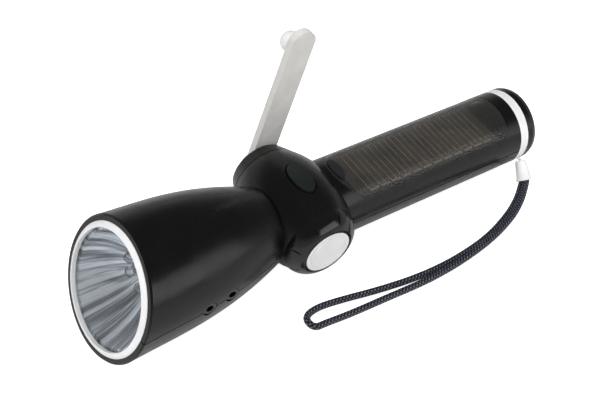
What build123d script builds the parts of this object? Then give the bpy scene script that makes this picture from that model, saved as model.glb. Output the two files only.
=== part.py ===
from build123d import *
from math import asin, atan2, cos, degrees, pi, radians, sin, sqrt, tan
import os

# A hand crank torch with a slanted head, a round hub across the grip and a solar window.
# Millimetres. The origin is the middle of the flat tail end. The lens faces -Y, the crank
# is on the -X side, the round cap on the +X side, and the solar window looks up, along +Z.

# Handle
handle_radius = 19.0
wall = 2.0
hub_from_tail = 136.0
lens_from_tail = 232.0

# Head: round sections from the rim to the neck
rim_radius = 32.5
rim_tilt = 20.0
rim_bevel = 0.7
bell_shoulder_distance = 20.0
bell_shoulder_radius = 30.9
bell_shoulder_tilt = 13.0
bell_middle_distance = 42.0
bell_middle_radius = 28.5
bell_middle_tilt = 7.0
bell_waist_distance = 62.0
bell_waist_radius = 24.0
bell_waist_tilt = 3.0
bell_end_distance = 79.8
bell_end_radius = 18.0
bell_end_rounding = 2.2
neck_radius = 14.5

# Hub: a barrel across the handle, with its own axis along X
hub_radius = 23.4
cap_seat_radius = 18.7
cap_seat_x = 19.3
crank_seat_radius = 17.4
crank_seat_x = 24.5

# Seam between the two shells
seam_groove_width = 0.5
seam_groove_depth = 0.5

# Fits
fit_gap = 0.1
shaft_gap = 0.05
motion_gap = 0.3

# Lens, its white ring, the reflector and the lamps
ring_radius = 29.6
ring_opening_radius = 26.9
ring_depth = 3.0
ring_crown = 1.2
lens_rebate = 1.2
lens_inset = 0.7
flange_thickness = 1.2
seat_ledge_depth = 2.0
seat_ledge_width = 1.2
reflector_wall = 1.2
reflector_waist_depth = 11.0
reflector_waist_radius = 21.5
reflector_waist_rise = 1.2
reflector_waist_tilt = 11.0
reflector_base_depth = 19.0
reflector_base_radius = 12.5
reflector_base_rise = 3.0
lamp_count = 5
lamp_circle_radius = 7.4
lamp_start_angle = 6.0
lamp_radius = 2.5
lamp_flange_radius = 2.9
lamp_height = 7.6
lamp_board_thickness = 1.6

# Solar window, its board and its cell
window_front = 119.4
window_rear = 18.0
window_half_width = 15.7
window_front_radius = 16.5
window_rear_radius = 5.0
window_front_corner = 5.0
window_ledge = 1.3
window_flange = 1.2
window_edge = 0.4
board_top = 9.6
board_thickness = 1.2
board_half_width = 13.5
board_front = 117.3
board_rear = 20.6
cell_front = 109.5
cell_rear = 24.0
cell_half_width = 13.2
cell_thickness = 0.5

# Buttons
power_button_half_length = 9.2
power_button_half_width = 4.8
power_button_height = 24.2
power_button_travel = 1.0
power_groove = 0.7
window_button_from_tail = 115.7
window_button_half_length = 6.3
window_button_half_width = 2.4
window_button_height = 19.7
window_button_travel = 0.6
button_flange = 1.3
button_flange_thickness = 1.2
switch_side = 6.0
switch_height = 3.4
window_switch_height = 2.4
plunger_radius = 1.6
plunger_height = 1.4
plunger_depth = 1.4
switch_board_top = 13.9
switch_board_half = 8.0

# Jacks on the seam of the head
output_jack_from_tail = 198.8
input_jack_from_tail = 186.5
jack_hole_radius = 3.6
jack_collar_radius = 3.3
jack_bore_radius = 1.8
jack_bore_length = 9.0
jack_recess = 0.5
jack_body_width = 9.0
jack_body_height = 7.0
jack_body_length = 6.6
jack_body_setback = 3.2

# Circuit board in the head
main_board_thickness = 1.6
main_board_half_width = 20.0
main_board_front = 206.0
main_board_rear = 177.0

# Round cap on the +X side and its disc
cap_face_x = 27.3
cap_middle_x = 24.0
cap_middle_radius = 17.0
cap_face_radius = 12.9
cap_wall = 1.8
disc_radius = 11.5
disc_thickness = 1.2
disc_groove_radius = 9.6
disc_groove_width = 0.5
disc_groove_depth = 0.25
notch_count = 8
notch_start_angle = 26.0
notch_width = 0.8
notch_depth = 0.5
notch_inner_radius = 13.6
notch_outer_radius = 16.9
cap_spigot_radius = 13.5
cap_spigot_wall = 1.5

# Crank
crank_face_x = 31.6
crank_hub_face_radius = 14.6
crank_hub_edge = 1.2
crank_shaft_radius = 2.0
crank_angle = 77.6
arm_thickness = 4.0
arm_half_width = 6.5
arm_root_radius = 9.5
arm_tip_reach = 72.0
arm_edge = 0.8
knob_setback = 4.0
knob_radius = 5.0
knob_neck_radius = 4.4
knob_dome_start = 8.0
knob_pin_radius = 1.5
knob_pin_length = 7.0
knob_pin_depth = 2.8
arm_screw_radius = 1.2
arm_screw_head_radius = 3.0
arm_screw_head_height = 1.4

# Gear train, back to back on the hub axis
gear_module = 0.5
wheel_teeth = 36
pinion_teeth = 10
tooth_share = 0.42
drive_gear_x = 18.4
drive_gear_thickness = 2.4
idler_wheel_x = 13.4
idler_wheel_thickness = 2.4
pinion_overlap = 0.4
idler_axle_radius = 1.0
rotor_shaft_radius = 1.0
bush_radius = 3.6
bush_length = 3.6
bush_flange_radius = 5.2
bush_flange_thickness = 0.8

# Generator
plate_x = 12.0
plate_thickness = 1.5
can_radius = 12.2
can_wall = 0.8
can_end_x = 12.0
coil_wall = 2.2
flange_lip = 0.5
rotor_length = 15.0
rotor_start_x = 5.0

# Battery in the handle
cell_radius = 5.2
battery_length = 44.5
battery_rear = 44.0
battery_row_height = 9.0
battery_row_spread = 5.4
rib_thickness = 1.6

# Tail
band_front = 10.7
band_rear = 5.9
tail_radius = 18.1
tail_taper_length = 2.6
tail_edge = 0.9
spigot_length = 6.0
spigot_wall = 1.6
tail_thread_radius = 14.6

# Screws
screw_boss_radius = 3.0
screw_radius = 1.1
screw_head_radius = 2.3
screw_head_height = 1.6
screw_length = 9.0
front_screw_from_tail = 172.0
middle_screw_from_tail = 98.0
rear_screw_from_tail = 27.0
screw_inset = 4.0
screw_floor_head = 8.6
screw_floor_handle = 6.4

# Wrist strap
strap_radius = 1.65
string_radius = 0.8
string_hole_radius = 1.2
string_bend_length = 1.4
string_bend_radius = 1.8
sleeve_root_radius = 2.9
sleeve_mouth_radius = 4.0
sleeve_rim = 0.8

knob_reach = arm_tip_reach - knob_setback
handle_screw_x = handle_radius - wall - screw_inset
front_screw_x = bell_waist_radius - wall - screw_inset
hub_y = -hub_from_tail
lens_y = -lens_from_tail
window_button_y = -window_button_from_tail
shell_inner_radius = handle_radius - wall
gear_centre_distance = gear_module * (wheel_teeth + pinion_teeth) / 2
idler_y = hub_y + gear_centre_distance


def side_plane(x, y=hub_y, z=0.0):
    """A plane across X: its own x runs along +Y, its own y along +Z."""
    return Plane(origin=(x, y, z), x_dir=(0, 1, 0), z_dir=(1, 0, 0))


def disc_along_x(radius, x_from, x_to, y=hub_y, z=0.0):
    return extrude(side_plane(x_from, y, z) * Circle(radius), x_to - x_from)


def disc_along_y(radius, y_from, y_to, x=0.0, z=0.0):
    plane = Plane(origin=(x, y_from, z), x_dir=(1, 0, 0), z_dir=(0, 1, 0))
    return extrude(plane * Circle(radius), y_to - y_from)


def post(radius, x, y, z_from, z_to):
    return extrude(Plane.XY.offset(z_from) * Pos(x, y) * Circle(radius), z_to - z_from)


def block(x_from, x_to, y_from, y_to, z_from, z_to):
    size = (x_to - x_from, y_to - y_from, z_to - z_from)
    middle = ((x_from + x_to) / 2, (y_from + y_to) / 2, (z_from + z_to) / 2)
    return Pos(*middle) * Box(*size)


def tilted_plane(distance, tilt, rise=0.0):
    """A plane behind the lens centre, its normal leaning down as it points to the tail."""
    lean = radians(tilt)
    origin = (0, lens_y + distance, rise)
    return Plane(origin=origin, x_dir=(1, 0, 0), z_dir=(0, cos(lean), -sin(lean)))


def face_plane(depth):
    """The plane of the lens ring, moved inwards along its own normal."""
    return tilted_plane(0.0, rim_tilt).offset(depth)


def bell(inset, front_depth):
    """The head's flared body, every section drawn in by the inset. The inside is plain cones."""
    rear_radius = bell_end_radius - inset
    sections = [
        face_plane(front_depth) * Circle(rim_radius - inset),
        tilted_plane(bell_shoulder_distance, bell_shoulder_tilt) * Circle(bell_shoulder_radius - inset),
        tilted_plane(bell_middle_distance, bell_middle_tilt) * Circle(bell_middle_radius - inset),
        tilted_plane(bell_waist_distance, bell_waist_tilt) * Circle(bell_waist_radius - inset),
        tilted_plane(bell_end_distance - inset, 0.0) * Circle(rear_radius),
    ]
    return loft(sections, ruled=inset > 0)


def barrel_profile_radius(x):
    """The hub's outer radius at a distance x from the handle's axis."""
    seat_x = cap_seat_x if x > 0 else crank_seat_x
    seat_radius = cap_seat_radius if x > 0 else crank_seat_radius
    drop = hub_radius - seat_radius
    bow = (seat_x**2 + drop**2) / (2 * drop)
    return hub_radius - bow + sqrt(bow**2 - x**2)


def barrel(inset):
    """The hub's barrel: two arcs turned about the X axis, flat at each end."""
    near_x = cap_seat_x - inset
    far_x = -(crank_seat_x - inset)
    far_radius = barrel_profile_radius(far_x) - inset
    near_radius = barrel_profile_radius(near_x) - inset
    crown = (0, hub_radius - inset)
    near_middle = (near_x / 2, barrel_profile_radius(near_x / 2) - inset)
    far_middle = (far_x / 2, barrel_profile_radius(far_x / 2) - inset)
    near_end = (near_x, near_radius)
    far_end = (far_x, far_radius)
    outline = [Line((near_x, 0), (far_x, 0)), Line((far_x, 0), far_end)]
    if inset == 0:
        outline += [ThreePointArc(far_end, far_middle, crown), ThreePointArc(crown, near_middle, near_end)]
    else:
        outline += [Line(far_end, far_middle), Line(far_middle, crown)]
        outline += [Line(crown, near_middle), Line(near_middle, near_end)]
    outline += [Line(near_end, (near_x, 0))]
    section = Plane(origin=(0, hub_y, 0)) * make_face(outline)
    return revolve(section, Axis((0, hub_y, 0), (1, 0, 0)))


def body_form(inset, front_depth):
    """Head, neck, hub and handle as one form, drawn in by the inset."""
    head = bell(inset, front_depth)
    if inset == 0:
        head = fillet(head.edges().sort_by(Axis.Y)[-1], bell_end_rounding)
    neck = disc_along_y(neck_radius - inset, lens_y + bell_waist_distance, hub_y)
    handle = disc_along_y(handle_radius - inset, hub_y, -band_front)
    return head + neck + barrel(inset) + handle


def window_outline(inset):
    """The solar window seen from above: a round front end and a squarer rear end."""
    half = window_half_width - inset
    front = -window_front + inset
    rear = -window_rear - inset
    front_radius = window_front_radius - inset
    centre_y = -window_front + window_front_radius
    side_y = centre_y - sqrt(front_radius**2 - half**2)
    corner = window_rear_radius - inset
    diagonal = corner * (1 - cos(pi / 4))
    outline = [
        ThreePointArc((-half, side_y), (0, front), (half, side_y)),
        Line((half, side_y), (half, rear - corner)),
        ThreePointArc((half, rear - corner), (half - diagonal, rear - diagonal), (half - corner, rear)),
        Line((half - corner, rear), (corner - half, rear)),
        ThreePointArc((corner - half, rear), (diagonal - half, rear - diagonal), (-half, rear - corner)),
        Line((-half, rear - corner), (-half, side_y)),
    ]
    face = make_face(outline)
    front_corners = [v for v in face.vertices() if abs(v.Y - side_y) < 0.01]
    return fillet(front_corners, window_front_corner - inset)


def window_column(inset):
    return extrude(window_outline(inset), handle_radius + 1)


def handle_layer(inner_radius, outer_radius):
    """A tube round the handle's axis, long enough for the solar window."""
    start = hub_y
    outer = disc_along_y(outer_radius, start, -band_front)
    return outer - disc_along_y(inner_radius, start, -band_front)


def button_hole(half_length, half_width, y, margin):
    return extrude(Pos(0, y) * Ellipse(half_length + margin, half_width + margin), hub_radius + 5)


def jack_surface_x(from_tail):
    """Where the head's side meets the seam plane, at a jack."""
    line = Line((rim_radius + 5, -from_tail, 0), (0, -from_tail, 0))
    crossing = outer_form & line
    return crossing.bounding_box().max.X


def screw_places():
    return [
        (front_screw_x, -front_screw_from_tail, screw_floor_head),
        (-front_screw_x, -front_screw_from_tail, screw_floor_head),
        (handle_screw_x, -middle_screw_from_tail, screw_floor_handle),
        (-handle_screw_x, -middle_screw_from_tail, screw_floor_handle),
        (handle_screw_x, -rear_screw_from_tail, screw_floor_handle),
        (-handle_screw_x, -rear_screw_from_tail, screw_floor_handle),
    ]


def whole_shell():
    """Both shells in one, with every seat and opening that the seam divides."""
    cavity = body_form(wall, ring_depth + seat_ledge_depth)
    shell = outer_form - cavity
    shell += disc_along_x(barrel_profile_radius(-crank_seat_x + wall) - wall / 2, -crank_seat_x, -crank_seat_x + wall)
    mouth = extrude(face_plane(-1) * Circle(ring_radius + fit_gap), ring_depth + 1)
    throat = extrude(face_plane(0) * Circle(ring_radius - seat_ledge_width), ring_depth + seat_ledge_depth + 1)
    shell -= mouth + throat
    shell -= disc_along_x(cap_spigot_radius + fit_gap, cap_seat_x - 2 * wall, cap_seat_x + 1)
    shell -= disc_along_x(bush_radius + shaft_gap, -crank_seat_x - 1, -crank_seat_x + wall + 1)
    for from_tail in (output_jack_from_tail, input_jack_from_tail):
        shell -= disc_along_x(jack_hole_radius, 0, rim_radius + 5, -from_tail)
    return shell


def seam_groove(form):
    """A shallow groove round the outside, where the shells meet."""
    slab = block(-60, 60, lens_y - 40, 10, -seam_groove_width / 2, seam_groove_width / 2)
    core = body_form(seam_groove_depth, seam_groove_depth)
    return (form & slab) - core


def make_upper_shell(shell):
    upper = shell & block(-60, 60, lens_y - 40, 10, 0, 60)
    rebate = handle_layer(handle_radius - window_flange - fit_gap, handle_radius + 1)
    upper -= rebate & window_column(0)
    upper -= window_column(window_ledge)
    upper -= button_hole(power_button_half_length, power_button_half_width, hub_y, power_groove)
    upper -= button_hole(window_button_half_length, window_button_half_width, window_button_y, motion_gap)
    for x, y, floor in screw_places():
        if y > hub_y:
            column = post(screw_boss_radius, x, y, 0, board_top - board_thickness)
        else:
            column = post(screw_boss_radius, x, y, 0, sqrt((bell_waist_radius - wall) ** 2 - x**2))
        upper += column & outer_form
        upper -= post(screw_radius - fit_gap, x, y, 0, screw_length - screw_floor_handle + 1)
    for x in (-switch_board_half + 1.5, switch_board_half - 1.5):
        top = hub_radius - wall / 2
        upper += post(1.5, x, hub_y + switch_board_half - 1.5, switch_board_top, top) & outer_form
        upper += post(1.5, x, hub_y - switch_board_half + 1.5, switch_board_top, top) & outer_form
    return upper


def battery_places():
    low = -battery_row_height
    crown = low + sqrt((2 * cell_radius + fit_gap) ** 2 - battery_row_spread**2)
    return [(-battery_row_spread, low), (battery_row_spread, low), (0, crown)]


def cradle_rib(y):
    """A rib across the lower shell, hollowed for the two lower battery cells."""
    rib = disc_along_y(handle_radius - wall / 2, y, y + rib_thickness)
    rib &= block(-handle_radius, handle_radius, y, y + rib_thickness, -handle_radius, -battery_row_height)
    for x, z in battery_places()[:2]:
        rib -= disc_along_y(cell_radius + fit_gap, y - 1, y + rib_thickness + 1, x, z)
    return rib


def main_board_bottom():
    return -jack_body_height / 2 - main_board_thickness


def make_lower_shell(shell):
    lower = shell & block(-60, 60, lens_y - 40, 10, -60, 0)
    for x, y, floor in screw_places():
        lower += post(screw_boss_radius, x, y, -rim_radius, 0) & outer_form
    for x in (-14, 14):
        for y in (-196, -182):
            lower += post(2, x, y, -rim_radius, main_board_bottom()) & outer_form
    for share in (0.12, 0.5, 0.88):
        lower += cradle_rib(-battery_rear - battery_length * share - rib_thickness / 2)
    for x, y, floor in screw_places():
        lower -= post(screw_radius + fit_gap, x, y, -rim_radius, 1)
        lower -= post(screw_head_radius + fit_gap, x, y, -rim_radius - 1, -floor)
    return lower


def make_shell_screws():
    screws = []
    for x, y, floor in screw_places():
        head = post(screw_head_radius, x, y, -floor - screw_head_height, -floor)
        shank = post(screw_radius - fit_gap, x, y, -floor, -floor + screw_length)
        low = -floor - screw_head_height
        slot = block(x - screw_head_radius, x + screw_head_radius, y - 0.3, y + 0.3, low, low + 0.6)
        screws.append(head + shank - slot)
    return screws


def make_lens_ring():
    """A ring with a crowned front, rebated behind for the lens, turned about the face's axis."""
    depth = ring_depth - flange_thickness
    seat = ring_opening_radius + lens_rebate
    outline = [
        Line((ring_radius, depth), (ring_radius, 0)),
        ThreePointArc((ring_radius, 0), (seat, -ring_crown * 0.8), (ring_opening_radius, -ring_crown)),
        Line((ring_opening_radius, -ring_crown), (ring_opening_radius, lens_inset)),
        Line((ring_opening_radius, lens_inset), (seat, lens_inset)),
        Line((seat, lens_inset), (seat, depth)),
        Line((seat, depth), (ring_radius, depth)),
    ]
    axis_dir = face_plane(0).z_dir
    section_plane = Plane(origin=(0, lens_y, 0), x_dir=(1, 0, 0), z_dir=axis_dir.cross(Vector(-1, 0, 0)))
    return revolve(section_plane * make_face(outline), Axis((0, lens_y, 0), axis_dir))


def make_lens():
    radius = ring_opening_radius + lens_rebate - fit_gap
    return extrude(face_plane(lens_inset) * Circle(radius), ring_depth - flange_thickness - lens_inset)


def reflector_form(inset):
    """The reflector's bowl, from the slanted rim to a base square to the handle."""
    rim = face_plane(ring_depth - flange_thickness) * Circle(ring_opening_radius - inset)
    waist_plane = tilted_plane(reflector_waist_depth, reflector_waist_tilt, reflector_waist_rise)
    waist = waist_plane * Circle(reflector_waist_radius - inset)
    base_plane = tilted_plane(reflector_base_depth - inset, 0, reflector_base_rise)
    base = base_plane * Circle(reflector_base_radius - inset)
    return loft([rim, waist, base])


def lamp_places():
    places = []
    for number in range(lamp_count):
        angle = radians(lamp_start_angle + number * 360 / lamp_count)
        x = lamp_circle_radius * cos(angle)
        z = reflector_base_rise + lamp_circle_radius * sin(angle)
        places.append((x, z))
    return places


def make_reflector():
    bowl = reflector_form(0)
    flange = extrude(face_plane(ring_depth - flange_thickness) * Circle(ring_radius - fit_gap), flange_thickness)
    bowl = bowl + flange - reflector_form(reflector_wall)
    base_y = lens_y + reflector_base_depth
    for x, z in lamp_places():
        bowl -= disc_along_y(lamp_flange_radius + fit_gap, base_y - 4, base_y + 1, x, z)
    return bowl


def make_lamp_board():
    base_y = lens_y + reflector_base_depth
    return disc_along_y(reflector_base_radius, base_y, base_y + lamp_board_thickness, 0, reflector_base_rise)


def make_lamps():
    lamps = []
    base_y = lens_y + reflector_base_depth
    for x, z in lamp_places():
        dome_y = base_y - lamp_height + lamp_radius
        lamp = disc_along_y(lamp_flange_radius, base_y - 1, base_y, x, z)
        lamp += disc_along_y(lamp_radius, dome_y, base_y, x, z)
        lamp += Pos(x, dome_y, z) * Sphere(lamp_radius)
        lamps.append(lamp)
    return lamps


def make_solar_window():
    inner = handle_radius - window_flange
    cover = handle_layer(inner, handle_radius) & window_column(fit_gap)
    cover += handle_layer(shell_inner_radius, handle_radius) & window_column(window_ledge + fit_gap)
    cover = cover & block(-60, 60, -150, 0, 0, 60)
    cover = round_window(cover)
    margin = motion_gap
    cover -= button_hole(window_button_half_length, window_button_half_width, window_button_y, margin)
    return cover


def round_window(cover):
    """Rounds the cover's outer edge, where it meets the handle's surface."""
    outer = [e for e in cover.edges() if on_handle_surface(e)]
    return fillet(outer, window_edge)


def on_handle_surface(edge):
    points = [edge @ share for share in (0, 0.25, 0.5, 0.75, 1)]
    return all(abs(sqrt(p.X**2 + p.Z**2) - handle_radius) < 0.01 for p in points)


def make_solar_board():
    low = board_top - board_thickness
    board = block(-board_half_width, board_half_width, -board_front, -board_rear, low, board_top)
    corners = board.edges().filter_by(Axis.Z)
    return fillet(corners, 4)


def make_solar_cell():
    top = board_top + cell_thickness
    return block(-cell_half_width, cell_half_width, -cell_front, -cell_rear, board_top, top)


def oval_button(half_length, half_width, y, flange_low, top, crown):
    """A button that fills an oval hole, with a flange inside and a crowned top."""
    stem = extrude(Plane.XY.offset(flange_low) * Pos(0, y) * Ellipse(half_length, half_width), top - flange_low)
    ball_radius = (half_length**2 + crown**2) / (2 * crown)
    stem &= Pos(0, y, top - ball_radius) * Sphere(ball_radius)
    wide = Ellipse(half_length + button_flange, half_width + button_flange)
    flange = extrude(Plane.XY.offset(flange_low) * Pos(0, y) * wide, button_flange_thickness)
    return stem + flange


def make_power_button():
    low = switch_board_top + switch_height + plunger_height
    stem = oval_button(power_button_half_length, power_button_half_width, hub_y, low, power_button_height, 1.0)
    return stem


def make_window_button():
    low = board_top + window_switch_height + plunger_height
    return oval_button(window_button_half_length, window_button_half_width, window_button_y, low, window_button_height, 0.5)


def make_switch(y, floor, height):
    """A square switch body with a round well for its plunger."""
    half = switch_side / 2
    body = block(-half, half, y - half, y + half, floor, floor + height)
    body = chamfer(body.edges().filter_by(Axis.Z), 0.4)
    return body - post(plunger_radius + shaft_gap, 0, y, floor + 0.3, floor + height + 1)


def make_plunger(y, floor, height):
    top = floor + height
    return post(plunger_radius, 0, y, top - plunger_depth + 0.05, top + plunger_height)


def make_power_board():
    half = switch_board_half
    low = switch_board_top - board_thickness
    board = block(-half, half, hub_y - half, hub_y + half, low, switch_board_top)
    return fillet(board.edges().filter_by(Axis.Z), 1)


def make_jack(from_tail):
    """A socket with a collar in the shell's hole, a square body and a blind bore."""
    mouth = jack_surface_x(from_tail) - jack_recess
    front = mouth - jack_body_setback
    back = front - jack_body_length
    y = -from_tail
    collar = disc_along_x(jack_collar_radius, front, mouth, y)
    half_width = jack_body_width / 2
    half_height = jack_body_height / 2
    body = block(back, front, y - half_width, y + half_width, -half_height, half_height)
    return collar + body - disc_along_x(jack_bore_radius, mouth - jack_bore_length, mouth + 1, y)


def make_main_board():
    low = main_board_bottom()
    half = main_board_half_width
    board = block(-half, half, -main_board_front, -main_board_rear, low, low + main_board_thickness)
    return fillet(board.edges().filter_by(Axis.Z), 5)


def make_side_cap():
    """The domed cap on the hub's +X side: a turned shell with grip notches."""
    spigot_x = cap_seat_x - wall
    inner_face = cap_face_x - cap_wall - disc_thickness
    outline = [
        Line((cap_seat_x, cap_spigot_radius), (cap_seat_x, cap_seat_radius)),
        ThreePointArc((cap_seat_x, cap_seat_radius), (cap_middle_x, cap_middle_radius), (cap_face_x, cap_face_radius)),
        Line((cap_face_x, cap_face_radius), (cap_face_x, disc_radius + fit_gap)),
        Line((cap_face_x, disc_radius + fit_gap), (cap_face_x - disc_thickness, disc_radius + fit_gap)),
        Line((cap_face_x - disc_thickness, disc_radius + fit_gap), (cap_face_x - disc_thickness, 0)),
        Line((cap_face_x - disc_thickness, 0), (inner_face, 0)),
        Line((inner_face, 0), (inner_face, cap_spigot_radius - cap_spigot_wall)),
        Line((inner_face, cap_spigot_radius - cap_spigot_wall), (spigot_x, cap_spigot_radius - cap_spigot_wall)),
        Line((spigot_x, cap_spigot_radius - cap_spigot_wall), (spigot_x, cap_spigot_radius)),
        Line((spigot_x, cap_spigot_radius), (cap_seat_x, cap_spigot_radius)),
    ]
    section = Plane(origin=(0, hub_y, 0)) * make_face(outline)
    cap = revolve(section, Axis((0, hub_y, 0), (1, 0, 0)))
    for number in range(notch_count):
        angle = notch_start_angle + 90 + number * 360 / notch_count
        turn = Location((0, hub_y, 0), (angle - 90, 0, 0))
        slope = atan2(cap_seat_radius - cap_face_radius, cap_face_x - cap_seat_x)
        cutter = Box(5.0, notch_width, 2 * notch_depth)
        middle = Pos(cap_middle_x, 0, cap_middle_radius) * Rotation(0, degrees(slope), 0)
        cap -= turn * middle * cutter
    return cap


def make_cap_disc():
    disc = disc_along_x(disc_radius, cap_face_x - disc_thickness, cap_face_x + 0.1)
    groove = disc_along_x(disc_groove_radius, cap_face_x + 0.1 - disc_groove_depth, cap_face_x + 1)
    groove -= disc_along_x(disc_groove_radius - disc_groove_width, cap_face_x - disc_thickness, cap_face_x + 1)
    return disc - groove


def arm_plane(x):
    """A plane across X on the hub axis, its own x along the crank arm."""
    turn = radians(crank_angle)
    along = (0, cos(turn), sin(turn))
    return Plane(origin=(x, hub_y, 0), x_dir=along, z_dir=(1, 0, 0))


def knob_place():
    turn = radians(crank_angle)
    return hub_y + knob_reach * cos(turn), knob_reach * sin(turn)


def make_crank_hub():
    """The turning boss: a disc that carries on the barrel's curve, with a rounded edge."""
    start = -crank_seat_x - motion_gap
    outline = [
        Line((start, 0), (start, crank_seat_radius)),
        Line((start, crank_seat_radius), (-crank_face_x, crank_hub_face_radius)),
        Line((-crank_face_x, crank_hub_face_radius), (-crank_face_x, 0)),
        Line((-crank_face_x, 0), (start, 0)),
    ]
    section = Plane(origin=(0, hub_y, 0)) * make_face(outline)
    hub = revolve(section, Axis((0, hub_y, 0), (1, 0, 0)))
    rim = hub.edges().sort_by(Axis.X)[0]
    hub = fillet(rim, crank_hub_edge)
    return hub - disc_along_x(crank_shaft_radius, -crank_face_x - 1, start + 1)


def make_crank_arm():
    root = Circle(arm_root_radius)
    bar = Pos(arm_tip_reach / 2, 0) * Rectangle(arm_tip_reach, 2 * arm_half_width)
    tip = Pos(arm_tip_reach, 0) * Circle(arm_half_width)
    form = extrude(arm_plane(-crank_face_x - arm_thickness) * (root + bar + tip), arm_thickness)
    outer = form.faces().sort_by(Axis.X)[0].edges()
    form = fillet(outer, arm_edge)
    knob_y, knob_z = knob_place()
    outer_x = -crank_face_x - arm_thickness
    form -= disc_along_x(knob_pin_radius, outer_x - 1, outer_x + knob_pin_depth, knob_y, knob_z)
    return form - disc_along_x(arm_screw_radius, outer_x - 1, -crank_face_x + 1)


def make_crank_shaft():
    end = -drive_gear_x + drive_gear_thickness / 2
    shaft = disc_along_x(crank_shaft_radius, -crank_face_x, end)
    return shaft - disc_along_x(arm_screw_radius, -crank_face_x - 1, -crank_face_x + 6)


def make_arm_screw():
    outer = -crank_face_x - arm_thickness
    head = disc_along_x(arm_screw_head_radius, outer - arm_screw_head_height, outer)
    head = fillet(head.edges().sort_by(Axis.X)[0], 0.5)
    shank = disc_along_x(arm_screw_radius, outer, -crank_face_x + 5.5)
    screw = head + shank
    half = arm_screw_head_radius * 0.6
    screw -= block(outer - 3, outer - 0.7, hub_y - half, hub_y + half, -0.4, 0.4)
    screw -= block(outer - 3, outer - 0.7, hub_y - 0.4, hub_y + 0.4, -half, half)
    return screw


def make_knob_pin():
    knob_y, knob_z = knob_place()
    outer = -crank_face_x - arm_thickness
    return disc_along_x(knob_pin_radius, outer - knob_pin_length, outer + knob_pin_depth, knob_y, knob_z)


def make_crank_knob():
    """The finger knob: a waisted barrel with a round end, turned about its pin."""
    knob_y, knob_z = knob_place()
    start = -crank_face_x - arm_thickness - motion_gap
    dome = -crank_face_x - knob_dome_start
    outline = [
        Line((start, 0), (start, knob_neck_radius)),
        Line((start, knob_neck_radius), (dome, knob_radius)),
        ThreePointArc(
            (dome, knob_radius),
            (dome - knob_radius * sin(pi / 4), knob_radius * cos(pi / 4)),
            (dome - knob_radius, 0),
        ),
        Line((dome - knob_radius, 0), (start, 0)),
    ]
    section = Plane(origin=(0, knob_y, knob_z)) * make_face(outline)
    knob = revolve(section, Axis((0, knob_y, knob_z), (1, 0, 0)))
    bore_end = start - knob_pin_length + motion_gap - shaft_gap
    return knob - disc_along_x(knob_pin_radius + shaft_gap, bore_end, start + 1, knob_y, knob_z)


def gear_face(teeth, turn):
    """Straight-sided teeth, widest at the root, with play left at the pitch circle."""
    pitch_radius = gear_module * teeth / 2
    step = 2 * pi / teeth
    levels = [
        (pitch_radius - 1.2 * gear_module, tooth_share * 1.5),
        (pitch_radius, tooth_share),
        (pitch_radius + 0.9 * gear_module, tooth_share * 0.5),
    ]
    points = []
    for tooth in range(teeth):
        middle = tooth * step + radians(turn)
        for radius, share in levels:
            angle = middle - share * step / 2
            points.append((radius * cos(angle), radius * sin(angle)))
        for radius, share in reversed(levels):
            angle = middle + share * step / 2
            points.append((radius * cos(angle), radius * sin(angle)))
    return make_face(Polyline(*points, close=True))


def gear(teeth, x_from, x_to, y, turn=0.0):
    return extrude(side_plane(x_from, y) * gear_face(teeth, turn), x_to - x_from)


def make_drive_gear():
    half = drive_gear_thickness / 2
    wheel = gear(wheel_teeth, -drive_gear_x - half, -drive_gear_x + half, hub_y)
    return wheel - disc_along_x(crank_shaft_radius, -drive_gear_x - half - 1, -drive_gear_x + half + 1)


def make_idler_gear():
    """A small pinion and a large wheel in one moulding, loose on its axle."""
    pinion_from = -drive_gear_x - drive_gear_thickness / 2 - pinion_overlap
    wheel_from = -idler_wheel_x - idler_wheel_thickness / 2
    wheel_to = -idler_wheel_x + idler_wheel_thickness / 2
    half_pitch = 180 / pinion_teeth
    idler = gear(pinion_teeth, pinion_from, wheel_from, idler_y, half_pitch)
    idler += gear(wheel_teeth, wheel_from, wheel_to, idler_y)
    return idler - disc_along_x(idler_axle_radius + shaft_gap, pinion_from - 1, wheel_to + 1, idler_y)


def make_idler_axle():
    return disc_along_x(idler_axle_radius, -crank_seat_x + wall, -plate_x + plate_thickness, idler_y)


def make_crank_bush():
    start = -crank_seat_x
    bush = disc_along_x(bush_radius, start, start + bush_length)
    flange_from = start + wall
    bush += disc_along_x(bush_flange_radius, flange_from, flange_from + bush_flange_thickness)
    return bush - disc_along_x(crank_shaft_radius + shaft_gap, start - 1, start + bush_length + 1)


def make_gear_plate():
    """The round plate between the gears and the generator, in the hub's hollow."""
    radius = barrel_profile_radius(-plate_x) - wall - fit_gap
    plate = disc_along_x(radius, -plate_x, -plate_x + plate_thickness)
    plate &= block(-60, 60, hub_y - radius, hub_y + radius, -radius, switch_board_top - board_thickness - 0.5)
    plate -= disc_along_x(rotor_shaft_radius + shaft_gap, -plate_x - 1, 0)
    return plate - disc_along_x(idler_axle_radius, -plate_x - 1, 0, idler_y)


def can_start():
    return -plate_x + plate_thickness


def make_generator_can():
    can = disc_along_x(can_radius, can_start(), can_end_x)
    can -= disc_along_x(can_radius - can_wall, can_start() - 1, can_end_x - can_wall)
    can = can & block(-60, 60, hub_y - 60, hub_y + 60, -60, 60)
    return can - disc_along_x(rotor_shaft_radius + shaft_gap, 0, can_end_x + 1)


def make_coil():
    """A wound ring between two flanges that seat in the can."""
    start = can_start() + 1
    end = can_end_x - can_wall - 1
    flange_radius = can_radius - can_wall - shaft_gap
    coil = disc_along_x(flange_radius - flange_lip, start, end)
    coil += disc_along_x(flange_radius, start, start + 1)
    coil += disc_along_x(flange_radius, end - 1, end)
    return coil - disc_along_x(coil_bore_radius(), start - 1, end + 1)


def coil_bore_radius():
    return can_radius - can_wall - flange_lip - coil_wall


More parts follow.
